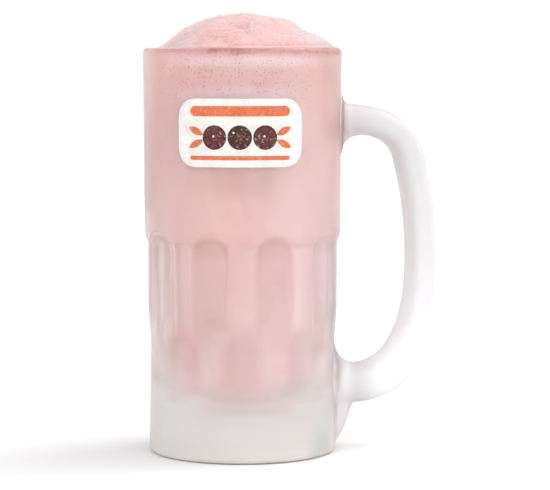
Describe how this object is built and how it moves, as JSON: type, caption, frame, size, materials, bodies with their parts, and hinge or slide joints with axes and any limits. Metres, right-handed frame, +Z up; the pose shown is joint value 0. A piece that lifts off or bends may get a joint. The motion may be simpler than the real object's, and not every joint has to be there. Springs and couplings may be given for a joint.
{
  "type": "berry milkshake in a glass mug",
  "caption": "Pink mixed berry milkshake heaped over the brim of a tall frosted glass mug with pressed panels and a side handle.",
  "frame": {"origin": "on the mug's axis, at the flat underside that it stands on", "axes": "+Z up along the mug's axis, +X towards the middle of the handle"},
  "size_m": [0.1311, 0.0872, 0.1934],
  "materials": {
    "frosted_glass": "frosted, matt, thick pressed glass",
    "berry_milkshake": "thick frothy milkshake, soft sheen"
  },
  "bodies": {
    "root": {"mug": "frosted_glass", "milkshake": "berry_milkshake"}
  },
  "joints": []
}
